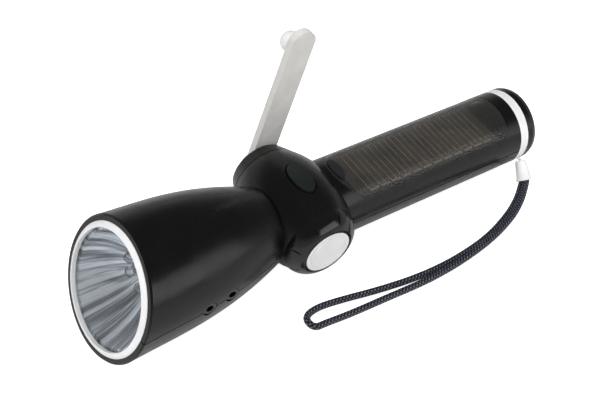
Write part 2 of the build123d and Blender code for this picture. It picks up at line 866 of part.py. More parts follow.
def make_rotor_magnet():
    start = -rotor_start_x
    rotor_radius = coil_bore_radius() - motion_gap
    magnet = disc_along_x(rotor_radius, start, start + rotor_length)
    magnet = chamfer(magnet.edges().filter_by(GeomType.CIRCLE), 0.6)
    return magnet - disc_along_x(rotor_shaft_radius, start - 1, start + rotor_length + 1)


def make_rotor_shaft():
    start = -idler_wheel_x - idler_wheel_thickness / 2 - 0.1
    pinion_end = -idler_wheel_x + idler_wheel_thickness / 2 + 0.2
    shaft = disc_along_x(rotor_shaft_radius, start, can_end_x + 1)
    return shaft + gear(pinion_teeth, start, pinion_end, hub_y, 180 / pinion_teeth)


def make_battery():
    cells = []
    for x, z in battery_places():
        cell = disc_along_y(cell_radius, -battery_rear - battery_length, -battery_rear - 1.2, x, z)
        cell += disc_along_y(cell_radius * 0.35, -battery_rear - 1.2, -battery_rear, x, z)
        cells.append(cell)
    return cells


def make_tail_band():
    band = disc_along_y(handle_radius, -band_front, -band_rear)
    band += disc_along_y(shell_inner_radius - fit_gap, -band_front - spigot_length, -band_front)
    band -= disc_along_y(shell_inner_radius - spigot_wall, -band_front - spigot_length - 1, 1)
    hole = Plane(origin=string_start, z_dir=string_bend() - string_start)
    return band - extrude(hole * Circle(string_hole_radius), 10, both=True)


def make_tail_cap():
    outline = [
        Line((0, -band_rear), (handle_radius, -band_rear)),
        Line((handle_radius, -band_rear), (handle_radius, -tail_taper_length)),
        Line((handle_radius, -tail_taper_length), (tail_radius, 0)),
        Line((tail_radius, 0), (0, 0)),
        Line((0, 0), (0, -band_rear)),
    ]
    cap = revolve(make_face(outline), Axis.Y)
    cap = fillet(cap.edges().sort_by(Axis.Y)[-1], tail_edge)
    cap += disc_along_y(tail_thread_radius, -band_rear - spigot_length, -band_rear)
    return cap - disc_along_y(tail_thread_radius - wall, -band_rear - spigot_length - 1, -band_rear + 1)


# The strap: its sleeve hangs beside the tail, and both strands lie along the surface
# below, with the loop's end beside the hub.
string_start = Vector(15.2, -9.2, -6.2)
sleeve_root = Vector(19.5, -7.4, -7.9)
sleeve_mouth = Vector(27.6, -9.6, -14.2)
outer_strand = [
    (32.2, -13.8, -16.6),
    (38.2, -20.5, -17.0),
    (43.6, -31.0, -17.6),
    (48.6, -45.0, -18.5),
    (51.2, -63.0, -19.6),
    (51.6, -83.0, -20.8),
    (51.6, -105.0, -22.1),
    (51.0, -124.0, -23.3),
    (48.6, -139.0, -24.2),
    (46.0, -150.0, -24.8),
    (42.4, -156.6, -25.2),
]
inner_strand = [
    (38.0, -152.4, -25.0),
    (38.6, -144.0, -24.5),
    (42.2, -134.0, -23.9),
    (45.4, -121.0, -23.1),
    (47.2, -104.0, -22.1),
    (47.6, -83.0, -20.8),
    (47.0, -64.0, -19.7),
    (44.4, -48.0, -18.7),
    (39.4, -34.4, -17.8),
    (34.0, -24.4, -17.2),
    (28.6, -17.6, -16.8),
]


def cord_points():
    axis = (sleeve_mouth - sleeve_root).normalized()
    across = Vector(axis.Y, -axis.X, 0).normalized() * (-strap_radius * 1.15)
    start = sleeve_mouth - across
    end = sleeve_mouth + across
    return [start] + [Vector(*p) for p in outer_strand] + [Vector(*p) for p in inner_strand] + [end]


def corner_radii(points):
    """Each arc is as large as 0.45 of the shorter run beside it allows."""
    radii = []
    for before, corner, after in zip(points, points[1:], points[2:]):
        first = corner - before
        second = after - corner
        turn = first.get_angle(second)
        radii.append(0.45 * min(first.length, second.length) / tan(radians(turn) / 2))
    return radii


def tube(points, radius):
    radii = corner_radii(points)
    path = FilletPolyline(*points, radius=radii)
    start = Plane(origin=path @ 0, z_dir=path % 0)
    solid = sweep(start * Circle(radius), path=path)
    print("tube radii", [round(r, 1) for r in radii])
    print("tube length", round(path.length, 1), "volume ratio", round(solid.volume / (pi * radius**2 * path.length), 4))
    return solid


def make_strap_sleeve():
    """A tapered cone turned about its own line, with a short straight rim at the mouth."""
    axis = sleeve_mouth - sleeve_root
    length = axis.length
    outline = [
        Line((0, 0), (sleeve_root_radius - 0.7, 0)),
        Line((sleeve_root_radius - 0.7, 0), (sleeve_root_radius, 0.7)),
        Line((sleeve_root_radius, 0.7), (sleeve_mouth_radius - 0.2, length - sleeve_rim)),
        Line((sleeve_mouth_radius - 0.2, length - sleeve_rim), (sleeve_mouth_radius, length - sleeve_rim)),
        Line((sleeve_mouth_radius, length - sleeve_rim), (sleeve_mouth_radius, length)),
        Line((sleeve_mouth_radius, length), (0, length)),
        Line((0, length), (0, 0)),
    ]
    cone = revolve(Plane.XZ * make_face(outline), Axis.Z)
    return Plane(origin=sleeve_root, z_dir=axis) * cone


def string_bend():
    """Where the string leaves the band's hole and turns into line with the sleeve."""
    return sleeve_root - (sleeve_mouth - sleeve_root).normalized() * string_bend_length


def make_strap_string():
    path = FilletPolyline(string_start, string_bend(), sleeve_root, radius=string_bend_radius)
    return sweep(Plane(origin=path @ 0, z_dir=path % 0) * Circle(string_radius), path=path)


os.makedirs("parts", exist_ok=True)
outer_form = body_form(0, 0)
outer_form = chamfer(outer_form.edges().sort_by(Axis((0, lens_y, 0), face_plane(0).z_dir))[0], rim_bevel)
shell = whole_shell()
shell -= seam_groove(shell)

nodes = {
    "upper_shell": make_upper_shell(shell),
    "lower_shell": make_lower_shell(shell),
    "lens_ring": make_lens_ring(),
    "lens": make_lens(),
    "reflector": make_reflector(),
    "lamp_board": make_lamp_board(),
    "lamps": make_lamps(),
    "solar_window": make_solar_window(),
    "solar_board": make_solar_board(),
    "solar_cell": make_solar_cell(),
    "window_switch": make_switch(window_button_y, board_top, window_switch_height),
    "window_plunger": make_plunger(window_button_y, board_top, window_switch_height),
    "window_button": make_window_button(),
    "power_board": make_power_board(),
    "power_switch": make_switch(hub_y, switch_board_top, switch_height),
    "power_plunger": make_plunger(hub_y, switch_board_top, switch_height),
    "power_button": make_power_button(),
    "output_jack": make_jack(output_jack_from_tail),
    "input_jack": make_jack(input_jack_from_tail),
    "main_board": make_main_board(),
    "side_cap": make_side_cap(),
    "cap_disc": make_cap_disc(),
    "crank_hub": make_crank_hub(),
    "crank_arm": make_crank_arm(),
    "crank_shaft": make_crank_shaft(),
    "arm_screw": make_arm_screw(),
    "knob_pin": make_knob_pin(),
    "crank_knob": make_crank_knob(),
    "crank_bush": make_crank_bush(),
    "drive_gear": make_drive_gear(),
    "idler_gear": make_idler_gear(),
    "idler_axle": make_idler_axle(),
    "gear_plate": make_gear_plate(),
    "generator_can": make_generator_can(),
    "generator_coil": make_coil(),
    "rotor_magnet": make_rotor_magnet(),
    "rotor_shaft": make_rotor_shaft(),
    "battery_cells": make_battery(),
    "shell_screws": make_shell_screws(),
    "tail_band": make_tail_band(),
    "tail_cap": make_tail_cap(),
    "strap_string": make_strap_string(),
    "strap_sleeve": make_strap_sleeve(),
    "strap_cord": tube(cord_points(), strap_radius),
}
for name, solid in nodes.items():
    if isinstance(solid, list):
        solid = Compound(children=solid)
    export_step(solid, "parts/" + name + ".step")
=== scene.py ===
import math
import bpy
from mathutils import Matrix, Vector


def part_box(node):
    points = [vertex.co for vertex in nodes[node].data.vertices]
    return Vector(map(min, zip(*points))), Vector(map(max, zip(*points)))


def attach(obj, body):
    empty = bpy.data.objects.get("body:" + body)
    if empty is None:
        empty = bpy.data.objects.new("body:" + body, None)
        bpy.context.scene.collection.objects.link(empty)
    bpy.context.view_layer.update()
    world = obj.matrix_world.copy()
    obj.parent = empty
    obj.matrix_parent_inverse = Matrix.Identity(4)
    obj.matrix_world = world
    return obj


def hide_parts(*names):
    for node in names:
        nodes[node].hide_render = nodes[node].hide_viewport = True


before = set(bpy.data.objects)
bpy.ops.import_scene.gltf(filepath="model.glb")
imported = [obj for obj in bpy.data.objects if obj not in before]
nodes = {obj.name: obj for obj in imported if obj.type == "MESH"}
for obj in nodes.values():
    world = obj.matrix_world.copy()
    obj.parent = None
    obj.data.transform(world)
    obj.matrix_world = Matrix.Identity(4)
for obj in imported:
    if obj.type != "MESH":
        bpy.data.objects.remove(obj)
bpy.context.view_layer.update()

bpy.ops.object.select_all(action="DESELECT")
print("frame loaded", len(nodes), "nodes")


def mm(x, y, z):
    return Vector((x, y, z)) / 1000


# camera
cameraSettings = {
    "azimuth": 48.53,  # degrees, 0 looks along +Y
    "elevation": 47.1,
    "roll": 10.46,
    "distance": 0.49543,
    "aim": (0, -0.132, 0),
    "slideRight": -0.00085,
    "slideUp": 0.00352,
    "lens": 63.84,  # millimetres on a 36 mm sensor
}


def makeCamera(settings):
    turn = math.radians(settings["azimuth"])
    lift = math.radians(settings["elevation"])
    roll = math.radians(settings["roll"])
    back = Vector((math.sin(turn) * math.cos(lift), -math.cos(turn) * math.cos(lift), math.sin(lift)))
    right = Vector((math.cos(turn), math.sin(turn), 0))
    up = back.cross(right)
    right, up = (
        right * math.cos(roll) + up * math.sin(roll),
        up * math.cos(roll) - right * math.sin(roll),
    )
    aim = Vector(settings["aim"]) + right * settings["slideRight"] + up * settings["slideUp"]
    place = aim + back * settings["distance"]
    camera = bpy.data.cameras.new("photoCamera")
    camera.sensor_width = 36
    camera.sensor_fit = "HORIZONTAL"
    camera.lens = settings["lens"]
    camera.clip_start = 0.01
    camera.clip_end = 20
    holder = bpy.data.objects.new("photoCamera", camera)
    bpy.context.collection.objects.link(holder)
    holder.matrix_world = Matrix((
        (right.x, up.x, back.x, place.x),
        (right.y, up.y, back.y, place.y),
        (right.z, up.z, back.z, place.z),
        (0, 0, 0, 1),
    ))
    bpy.context.scene.camera = holder


makeCamera(cameraSettings)
bpy.context.scene.view_settings.view_transform = "Standard"
print("camera placed")


# materials
def toLinear(hexText):
    channels = [int(hexText[i:i + 2], 16) / 255 for i in (1, 3, 5)]
    return [c / 12.92 if c <= 0.04045 else ((c + 0.055) / 1.055) ** 2.4 for c in channels] + [1.0]


def addNode(tree, kind, values=None, wires=None, **settings):
    node = tree.nodes.new(kind)
    for name, value in settings.items():
        setattr(node, name, value)
    for name, value in (values or {}).items():
        node.inputs[name].default_value = value
    for name, wire in (wires or {}).items():
        tree.links.new(wire, node.inputs[name])
    return node


def startMaterial(name, colour, **values):
    material = bpy.data.materials.new(name)
    material.use_nodes = True
    shader = material.node_tree.nodes["Principled BSDF"]
    shader.inputs["Base Color"].default_value = toLinear(colour)
    for key, value in values.items():
        shader.inputs[key.replace("_", " ")].default_value = value
    material.diffuse_color = toLinear(colour)
    return material, material.node_tree, shader


def finishSurface(tree, shader, grain, depth, roughness, spread, patch, tone=0.06):
    # grain, depth and patch are metres, spread is the play in roughness and tone the play in colour
    place = addNode(tree, "ShaderNodeTexCoord").outputs["Object"]
    fine = addNode(tree, "ShaderNodeTexNoise", {"Scale": 1 / grain, "Detail": 3.0}, {"Vector": place})
    broad = addNode(tree, "ShaderNodeTexNoise", {"Scale": 1 / patch, "Detail": 2.0}, {"Vector": place})
    relief = {"Strength": 1.0, "Distance": depth}
    bump = addNode(tree, "ShaderNodeBump", relief, {"Height": fine.outputs["Fac"]})
    rough = addNode(
        tree, "ShaderNodeMapRange",
        {"From Min": 0.3, "From Max": 0.7, "To Min": roughness - spread, "To Max": roughness + spread},
        {"Value": broad.outputs["Fac"]},
    )
    shade = addNode(
        tree, "ShaderNodeMapRange",
        {"From Min": 0.3, "From Max": 0.7, "To Min": 1 - tone, "To Max": 1 + tone},
        {"Value": broad.outputs["Fac"]},
    )
    tint = addNode(tree, "ShaderNodeHueSaturation", wires={"Value": shade.outputs["Result"]})
    colour = shader.inputs["Base Color"]
    if colour.is_linked:
        tree.links.new(colour.links[0].from_socket, tint.inputs["Color"])
    else:
        tint.inputs["Color"].default_value = colour.default_value
    tree.links.new(tint.outputs["Color"], colour)
    tree.links.new(bump.outputs["Normal"], shader.inputs["Normal"])
    tree.links.new(rough.outputs["Result"], shader.inputs["Roughness"])


def mathNode(tree, operation, first, second=0.0, third=None):
    node = addNode(tree, "ShaderNodeMath", operation=operation)
    for number, value in enumerate((first, second, third)):
        if isinstance(value, (int, float)):
            node.inputs[number].default_value = value
        elif value is not None:
            tree.links.new(value, node.inputs[number])
    return node.outputs[0]


def rampNode(tree, factor, stops):
    ramp = addNode(tree, "ShaderNodeValToRGB", wires={"Fac": factor})
    bands = ramp.color_ramp.elements
    for band, (position, colour) in zip((bands[0], bands[1]), (stops[0], stops[-1])):
        band.position = position
        band.color = toLinear(colour)
    for position, colour in stops[1:-1]:
        bands.new(position).color = toLinear(colour)
    return ramp.outputs["Color"]


# ABS moulded in a polished tool: deep black, a clear sheen and a faint waviness
mouldedBlackAbs, tree, shader = startMaterial("mouldedBlackAbs", "#0b0909", Specular_IOR_Level=0.34)
finishSurface(tree, shader, grain=0.0009, depth=0.000004, roughness=0.27, spread=0.05, patch=0.014)

# the same ABS with a glossier skin, as on the turned cap
polishedBlackAbs, tree, shader = startMaterial("polishedBlackAbs", "#090a0a", Specular_IOR_Level=0.45)
finishSurface(tree, shader, grain=0.0012, depth=0.000003, roughness=0.17, spread=0.04, patch=0.01)

# white ABS, moulded: even and bright with a soft sheen
mouldedWhiteAbs, tree, shader = startMaterial("mouldedWhiteAbs", "#eeeeef", IOR=1.5)
finishSurface(tree, shader, grain=0.0008, depth=0.000003, roughness=0.35, spread=0.05, patch=0.01)

# pale grey ABS, moulded in a lightly etched tool: a flatter, warmer face
etchedGreyAbs, tree, shader = startMaterial("etchedGreyAbs", "#dcdad7", IOR=1.5)
finishSurface(tree, shader, grain=0.0004, depth=0.000006, roughness=0.42, spread=0.05, patch=0.008)

# moulded silicone rubber: a soft dark green-black skin
mouldedRubber, tree, shader = startMaterial("mouldedRubber", "#161b19", IOR=1.42)
finishSurface(tree, shader, grain=0.0003, depth=0.00001, roughness=0.48, spread=0.06, patch=0.005)

# grey-black ABS, moulded: hard and half matt, for the small button
mouldedButtonAbs, tree, shader = startMaterial("mouldedButtonAbs", "#202124", IOR=1.5)
finishSurface(tree, shader, grain=0.0005, depth=0.000004, roughness=0.36, spread=0.05, patch=0.006)


def makeClearSheet(tree, shader, tint, refraction, grazing, haze=0.0):
    # a thin clear wall: it lets light through with its tint and mirrors more at flat angles
    edge = addNode(tree, "ShaderNodeFresnel", {"IOR": refraction})
    mirror = mathNode(tree, "MINIMUM", mathNode(tree, "MULTIPLY", edge.outputs["Fac"], grazing), 1.0)
    inner = addNode(tree, "ShaderNodeNewGeometry").outputs["Backfacing"]  # the inner face doesn't mirror
    mirror = mathNode(tree, "MAXIMUM", mirror, haze)
    mirror = mathNode(tree, "MULTIPLY", mirror, mathNode(tree, "SUBTRACT", 1.0, inner))
    through = addNode(tree, "ShaderNodeBsdfTransparent", {"Color": toLinear(tint)})
    mixed = addNode(tree, "ShaderNodeMixShader",
                    wires={0: mirror, 1: through.outputs[0], 2: shader.outputs[0]})
    tree.links.new(mixed.outputs[0], tree.nodes["Material Output"].inputs["Surface"])


# clear polycarbonate, polished: the lens over the reflector
clearPolycarbonate, tree, shader = startMaterial("clearPolycarbonate", "#ffffff", Metallic=1.0)
finishSurface(tree, shader, grain=0.008, depth=0.00002, roughness=0.03, spread=0.01, patch=0.02, tone=0.0)
makeClearSheet(tree, shader, "#f2f5f7", 1.58, 1.0)

# acrylic, moulded: the cover over the solar cell, nearly clear with a soft haze and faint flow marks
clearAcrylic, tree, shader = startMaterial("clearAcrylic", "#f3f2ef", Metallic=0.35)
finishSurface(tree, shader, grain=0.02, depth=0.000004, roughness=0.12, spread=0.03, patch=0.02, tone=0.03)
makeClearSheet(tree, shader, "#dcdbd8", 1.49, 0.9, haze=0.035)

# clear epoxy, cast: the lamps' domes
castEpoxy, tree, shader = startMaterial(
    "castEpoxy", "#f7f9fc", IOR=1.53, Roughness=0.02, Transmission_Weight=1.0)

# silicone gel with phosphor, in a lamp's cup
phosphorGel, tree, shader = startMaterial("phosphorGel", "#d8c46a", IOR=1.41)
finishSurface(tree, shader, grain=0.0002, depth=0.00001, roughness=0.3, spread=0.05, patch=0.001)

# aluminium evaporated on a facetted bowl, half diffuse: its grey and white streaks that run out from the
# lamps are painted reflections and painted highlights of the facets
evaporatedAluminium, tree, shader = startMaterial("evaporatedAluminium", "#b4b7bd", Metallic=0.55)
paintedStreakSettings = {
    "centreHeight": 0.003,  # metres, the middle of the lamps
    "perTurn": 6.5,  # streaks for each radian
    "perMetre": 30.0,  # slow change along a streak
    "noise": {"Scale": 1.0, "Detail": 4.0, "Roughness": 0.62, "Distortion": 0.25},
    # painted reflection tones, dark grey to white, standing in for the facets' reflections and highlights
    "tones": [(0.36, "#1c1e22"), (0.44, "#7c7f86"), (0.50, "#b4b7bd"), (0.54, "#e4e6ea"), (0.58, "#ffffff")],
}


def drawPaintedStreaks(tree, shader, settings):
    place = addNode(tree, "ShaderNodeTexCoord").outputs["Object"]
    parts = addNode(tree, "ShaderNodeSeparateXYZ", wires={"Vector": place})
    side = mathNode(tree, "MULTIPLY", parts.outputs["X"], -1.0)
    height = mathNode(tree, "SUBTRACT", settings["centreHeight"], parts.outputs["Z"])
    angle = mathNode(tree, "ARCTAN2", height, side)
    reach = mathNode(tree, "SQRT", mathNode(tree, "ADD", mathNode(tree, "POWER", side, 2.0),
                                            mathNode(tree, "POWER", height, 2.0)))
    around = mathNode(tree, "MULTIPLY", angle, settings["perTurn"])
    along = mathNode(tree, "MULTIPLY", reach, settings["perMetre"])
    spot = addNode(tree, "ShaderNodeCombineXYZ", wires={"X": around, "Y": along})
    streak = addNode(tree, "ShaderNodeTexNoise", settings["noise"], {"Vector": spot.outputs["Vector"]})
    # the painted reflection streaks go into the base colour, where the half-diffuse surface lights them
    colour = rampNode(tree, streak.outputs["Fac"], settings["tones"])
    tree.links.new(colour, shader.inputs["Base Color"])


drawPaintedStreaks(tree, shader, paintedStreakSettings)
finishSurface(tree, shader, grain=0.004, depth=0.0001, roughness=0.1, spread=0.04, patch=0.012)

# silicon under resin: dark brown with a mottled cast, crossed by thin printed silver lines
resinSilicon, tree, shader = startMaterial("resinSilicon", "#121013", IOR=1.5)
printSettings = {
    "pitch": 0.0032,  # metres between two lines
    "lineShare": 0.1,  # of the pitch that a line covers
    "start": -0.103,
    "end": -0.0262,
    "edge": 0.0121,  # half the printed width
    "inkPatches": {"Scale": 160.0, "Detail": 2.0},
    "inkFade": {"From Min": 0.35, "From Max": 0.6, "To Min": 0.45, "To Max": 1.0},
    "inkColour": "#b5b0a9",
    "mottle": {"Scale": 70.0, "Detail": 3.0},
    "mottleTones": [(0.35, "#46423f"), (0.5, "#57514c"), (0.62, "#655d55")],
}


def printLines(tree, shader, settings):
    place = addNode(tree, "ShaderNodeTexCoord").outputs["Object"]
    parts = addNode(tree, "ShaderNodeSeparateXYZ", wires={"Vector": place})
    down = mathNode(tree, "SUBTRACT", parts.outputs["Y"], settings["start"])
    step = mathNode(tree, "FRACT", mathNode(tree, "DIVIDE", down, settings["pitch"]))
    line = mathNode(tree, "LESS_THAN", step, settings["lineShare"])
    inside = mathNode(tree, "GREATER_THAN", down, 0.0)
    before = mathNode(tree, "LESS_THAN", parts.outputs["Y"], settings["end"])
    across = mathNode(tree, "LESS_THAN", mathNode(tree, "ABSOLUTE", parts.outputs["X"]), settings["edge"])
    patchy = addNode(tree, "ShaderNodeTexNoise", settings["inkPatches"], {"Vector": place})
    fade = addNode(tree, "ShaderNodeMapRange", settings["inkFade"], {"Value": patchy.outputs["Fac"]})
    mask = mathNode(tree, "MULTIPLY", mathNode(tree, "MULTIPLY", line, inside),
                    mathNode(tree, "MULTIPLY", before, across))
    mask = mathNode(tree, "MULTIPLY", mask, fade.outputs["Result"])
    cells = addNode(tree, "ShaderNodeTexNoise", settings["mottle"], {"Vector": place})
    ground = rampNode(tree, cells.outputs["Fac"], settings["mottleTones"])
    ink = toLinear(settings["inkColour"])
    mixed = addNode(tree, "ShaderNodeMixRGB", {"Color2": ink}, {"Fac": mask, "Color1": ground})
    tree.links.new(mixed.outputs["Color"], shader.inputs["Base Color"])


printLines(tree, shader, printSettings)
finishSurface(tree, shader, grain=0.001, depth=0.000002, roughness=0.25, spread=0.05, patch=0.012)

# tinned copper ribbon at the cell's edge: dull silver with a faint warm cast
tinnedRibbon, tree, shader = startMaterial("tinnedRibbon", "#c9c6bd", Metallic=0.6)
finishSurface(tree, shader, grain=0.0004, depth=0.00002, roughness=0.35, spread=0.1, patch=0.002)

# solder mask on a circuit board: dark and even, with a low sheen
solderMask, tree, shader = startMaterial("solderMask", "#141615", IOR=1.5)
finishSurface(tree, shader, grain=0.0006, depth=0.000004, roughness=0.35, spread=0.06, patch=0.006)

# turned steel: a bright metal with fine tool marks
turnedSteel, tree, shader = startMaterial("turnedSteel", "#b8b8ba", Metallic=1.0)
finishSurface(tree, shader, grain=0.0003, depth=0.000004, roughness=0.3, spread=0.06, patch=0.003)

# sintered bronze: a warm, porous metal without much shine
sinteredBronze, tree, shader = startMaterial("sinteredBronze", "#a8814c", Metallic=1.0)
finishSurface(tree, shader, grain=0.0003, depth=0.00001, roughness=0.45, spread=0.06, patch=0.003)

# enamelled copper wire: red-brown metal under a thin gloss
enamelledCopper, tree, shader = startMaterial("enamelledCopper", "#a3512a", Metallic=1.0)
finishSurface(tree, shader, grain=0.0004, depth=0.00002, roughness=0.3, spread=0.06, patch=0.003)

# natural nylon, moulded: creamy white and half matt
naturalNylon, tree, shader = startMaterial("naturalNylon", "#e2ded0", IOR=1.53)
finishSurface(tree, shader, grain=0.0006, depth=0.000005, roughness=0.45, spread=0.06, patch=0.005)

# shrink sleeve on a cell: thin green film with a gloss
shrinkSleeve, tree, shader = startMaterial("shrinkSleeve", "#2f6d3d", IOR=1.5)
finishSurface(tree, shader, grain=0.002, depth=0.00001, roughness=0.3, spread=0.06, patch=0.006)

nodeMaterials = {
    "upper_shell": mouldedBlackAbs,
    "lower_shell": mouldedBlackAbs,
    "lens_ring": mouldedWhiteAbs,
    "lens": clearPolycarbonate,
    "reflector": evaporatedAluminium,
    "lamp_board": solderMask,
    "solar_window": clearAcrylic,
    "solar_board": solderMask,
    "window_switch": mouldedButtonAbs,
    "window_plunger": mouldedButtonAbs,
    "window_button": mouldedButtonAbs,
    "power_board": solderMask,
    "power_switch": mouldedButtonAbs,
    "power_plunger": mouldedButtonAbs,
    "power_button": mouldedRubber,
    "output_jack": polishedBlackAbs,
    "input_jack": polishedBlackAbs,
    "main_board": solderMask,
    "side_cap": polishedBlackAbs,
    "cap_disc": mouldedWhiteAbs,
    "crank_hub": mouldedBlackAbs,
    "crank_arm": etchedGreyAbs,
    "crank_shaft": turnedSteel,
    "arm_screw": turnedSteel,
    "knob_pin": turnedSteel,
    "crank_knob": mouldedWhiteAbs,
    "crank_bush": sinteredBronze,
    "drive_gear": naturalNylon,
    "idler_gear": naturalNylon,
    "idler_axle": turnedSteel,
    "gear_plate": turnedSteel,
    "generator_can": turnedSteel,
    "generator_coil": enamelledCopper,
    "rotor_magnet": turnedSteel,
    "rotor_shaft": turnedSteel,
    "battery_cells": shrinkSleeve,
    "shell_screws": turnedSteel,
    "tail_band": mouldedWhiteAbs,
    "tail_cap": mouldedBlackAbs,
    "strap_sleeve": mouldedWhiteAbs,
}
for name, material in nodeMaterials.items():
    for slot in nodes[name].material_slots:
        slot.material = material

# the cover over the cell is drawn a hair inside its solid, apart from the shell around it
coverDepth = 0.00002  # metres
coverRelief = nodes["solar_window"].modifiers.new("coverRelief", "DISPLACE")
coverRelief.strength = -coverDepth
coverRelief.mid_level = 0.0
print("materials given to", len(nodeMaterials), "nodes")


def freshPiece(name):
    piece = bpy.context.object
    piece.name = name
    piece.data.name = name
    return piece


def pickFaces(piece, test):
    # selects the faces whose centre and normal pass the test, and stays in edit mode
    bpy.ops.object.mode_set(mode="EDIT")
    bpy.ops.mesh.select_mode(type="FACE")
    bpy.ops.mesh.select_all(action="DESELECT")
    bpy.ops.object.mode_set(mode="OBJECT")
    for face in piece.data.polygons:
        face.select = test(face.center, face.normal)
    bpy.ops.object.mode_set(mode="EDIT")


def facesUp(centre, normal):
    return normal.z > 0.99


def facesDown(centre, normal):
    return normal.z < -0.99


def growFace(rise, factor=1.0):
    bpy.ops.mesh.extrude_region_move(TRANSFORM_OT_translate={"value": (0, 0, rise)})
    if factor != 1.0:
        bpy.ops.transform.resize(value=(factor, factor, 1), center_override=(0, 0, 0))


def leaveEdit(piece, angle=35):
    bpy.ops.mesh.select_all(action="SELECT")
    bpy.ops.mesh.normals_make_consistent(inside=False)
    bpy.ops.object.mode_set(mode="OBJECT")
    bpy.ops.object.shade_smooth_by_angle(angle=math.radians(angle))
    piece.select_set(False)


def copyPiece(piece, matrix):
    twin = piece.copy()
    twin.data = piece.data.copy()
    twin.data.transform(matrix)
    bpy.context.collection.objects.link(twin)
    return twin


def joinPieces(pieces, name):
    bpy.ops.object.select_all(action="DESELECT")
    for piece in pieces:
        piece.select_set(True)
    bpy.context.view_layer.objects.active = pieces[0]
    bpy.ops.object.join()
    joined = freshPiece(name)
    joined.select_set(False)
    return joined


# solar cell: a resin-covered sheet with its silver lines, and the ribbon pads along one edge
cellSettings = {
    "edgeBevel": 0.00012,
    "resinBorder": 0.0006,
    "resinStep": -0.00005,
    "padCount": 12,
    "padPitch": 0.0064,
    "padLength": 0.0051,
    "padWidth": 0.0013,
    "padHeight": 0.00016,
    "padRound": 0.3,  # share of the height
    "padBorder": 0.2,  # share of the width
    "padSide": 0.01215,  # from the middle line towards the round cap
    "padStart": -0.1003,
}


def makeCellSheet(settings):
    low, high = (Vector(corner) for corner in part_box("solar_cell"))
    bpy.ops.object.select_all(action="DESELECT")
    bpy.ops.mesh.primitive_cube_add(size=1)
    piece = freshPiece("solarCellSheet")
    piece.data.transform(Matrix.Translation((low + high) / 2) @ Matrix.Diagonal((*(high - low), 1)))
    pickFaces(piece, lambda centre, normal: True)
    bpy.ops.mesh.bevel(offset=settings["edgeBevel"], segments=2, affect="EDGES")
    pickFaces(piece, facesUp)
    bpy.ops.mesh.inset(thickness=settings["resinBorder"])
    growFace(settings["resinStep"])
    leaveEdit(piece)
    piece.data.materials.append(resinSilicon)
    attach(piece, "torch")
    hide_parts("solar_cell")
    return high.z


def makeContactPads(settings, top):
    bpy.ops.object.select_all(action="DESELECT")
    bpy.ops.mesh.primitive_cube_add(size=1)
    piece = freshPiece("contactPad")
    size = (settings["padWidth"], settings["padLength"], settings["padHeight"], 1)
    piece.data.transform(Matrix.Diagonal(size))
    pickFaces(piece, lambda centre, normal: True)
    bpy.ops.mesh.bevel(offset=settings["padHeight"] * settings["padRound"], segments=2, affect="EDGES")
    pickFaces(piece, facesUp)
    bpy.ops.mesh.inset(thickness=settings["padWidth"] * settings["padBorder"])
    growFace(-settings["padHeight"] * settings["padRound"])
    leaveEdit(piece)
    piece.data.materials.append(tinnedRibbon)
    pads = []
    for number in range(settings["padCount"]):
        place = Vector((settings["padSide"], settings["padStart"] + number * settings["padPitch"], top))
        pads.append(copyPiece(piece, Matrix.Translation(place)))
    bpy.data.objects.remove(piece)
    ribbon = joinPieces(pads, "contactRibbon")
    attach(ribbon, "torch")


makeContactPads(cellSettings, makeCellSheet(cellSettings))
print("solar cell made")


# lamps: five clear domes, each over a metal cup with a yellow filling
ledSettings = {
    "count": 5,
    "ring": 0.0074,
    "centreHeight": 0.003,
    "startAngle": 6,  # degrees
    "base": -0.213,  # place along Y
    "flangeRadius": 0.0029,
    "flangeHeight": 0.001,
    "domeRadius": 0.0025,
    "height": 0.0076,
    "domeSteps": 7,
    "domeArc": 86,  # degrees from the dome's foot to its flat tip
    "cupRadius": 0.0013,
    "cupHeight": 0.0012,
    "cupPlace": 0.0038,
    "lipShare": 0.2,  # of the cup's radius
    "wellShare": 0.5,  # of its height
    "wellTaper": 0.75,
    "legShare": 0.55,  # of its radius
}


def makeDome(settings):
    bpy.ops.object.select_all(action="DESELECT")
    bpy.ops.mesh.primitive_cylinder_add(
        vertices=32, radius=settings["flangeRadius"], depth=settings["flangeHeight"])
    piece = freshPiece("lampDome")
    piece.data.transform(Matrix.Translation((0, 0, settings["flangeHeight"] / 2)))
    pickFaces(piece, facesUp)
    bpy.ops.mesh.inset(thickness=settings["flangeRadius"] - settings["domeRadius"])
    growFace(settings["height"] - settings["flangeHeight"] - settings["domeRadius"])
    for number in range(settings["domeSteps"]):
        before = math.radians(settings["domeArc"] * number / settings["domeSteps"])
        after = math.radians(settings["domeArc"] * (number + 1) / settings["domeSteps"])
        rise = settings["domeRadius"] * (math.sin(after) - math.sin(before))
        growFace(rise, math.cos(after) / math.cos(before))
    leaveEdit(piece)
    piece.data.materials.append(castEpoxy)
    return piece


def makeCup(settings):
    bpy.ops.object.select_all(action="DESELECT")
    bpy.ops.mesh.primitive_cylinder_add(
        vertices=20, radius=settings["cupRadius"], depth=settings["cupHeight"])
    piece = freshPiece("lampCup")
    piece.data.transform(Matrix.Translation((0, 0, settings["cupPlace"])))
    pickFaces(piece, facesUp)
    bpy.ops.mesh.inset(thickness=settings["cupRadius"] * settings["lipShare"])
    growFace(-settings["cupHeight"] * settings["wellShare"], settings["wellTaper"])
    pickFaces(piece, facesDown)
    bpy.ops.mesh.inset(thickness=settings["cupRadius"] * settings["legShare"])
    growFace(-(settings["cupPlace"] - settings["cupHeight"]))
    leaveEdit(piece)
    piece.data.materials.append(turnedSteel)
    piece.data.materials.append(phosphorGel)
    floorHeight = settings["cupPlace"] + settings["cupHeight"] * 0.2
    for face in piece.data.polygons:
        inCup = face.normal.z > 0.99 and face.center.z < floorHeight
        face.material_index = 1 if inCup else 0
    return piece


